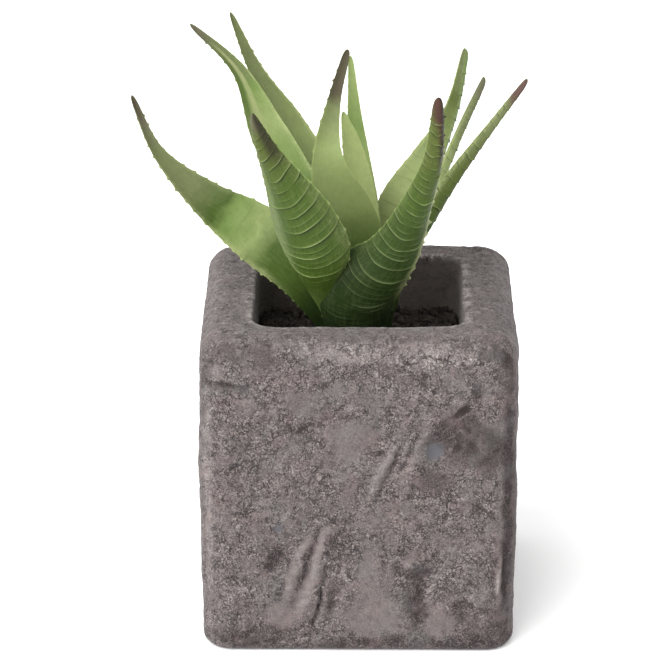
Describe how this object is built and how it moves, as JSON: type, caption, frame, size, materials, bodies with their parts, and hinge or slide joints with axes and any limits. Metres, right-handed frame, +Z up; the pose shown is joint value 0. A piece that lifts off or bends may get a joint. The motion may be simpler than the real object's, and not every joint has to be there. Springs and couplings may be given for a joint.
{
  "type": "potted aloe",
  "caption": "Small aloe with a rosette of tapering, toothed and cross-ridged leaves on a short stem, growing in dark soil in a square, thick-walled cast cement pot that stands on its flat base.",
  "frame": {"origin": "centre of the pot's flat underside", "axes": "+Z up, -Y towards the side that the picture shows, +X to that side's right"},
  "size_m": [0.0828, 0.068, 0.12],
  "materials": {
    "cement": "rough cast cement with pores, gouges and a smoother rim",
    "soil": "loose, dark and matt",
    "stalk": "matt plant stalk",
    "leaf": "satin green succulent flesh with paler margins and brown tips"
  },
  "bodies": {
    "root": {"pot": "cement", "soil": "soil", "stem": "stalk", "leaf_left": "leaf", "leaf_back_left_low": "leaf", "leaf_back_left_high": "leaf", "leaf_back": "leaf", "leaf_inner": "leaf", "leaf_back_right": "leaf", "leaf_right_mid": "leaf", "leaf_right": "leaf", "leaf_centre": "leaf", "leaf_front_left": "leaf", "leaf_front_right": "leaf"}
  },
  "joints": []
}
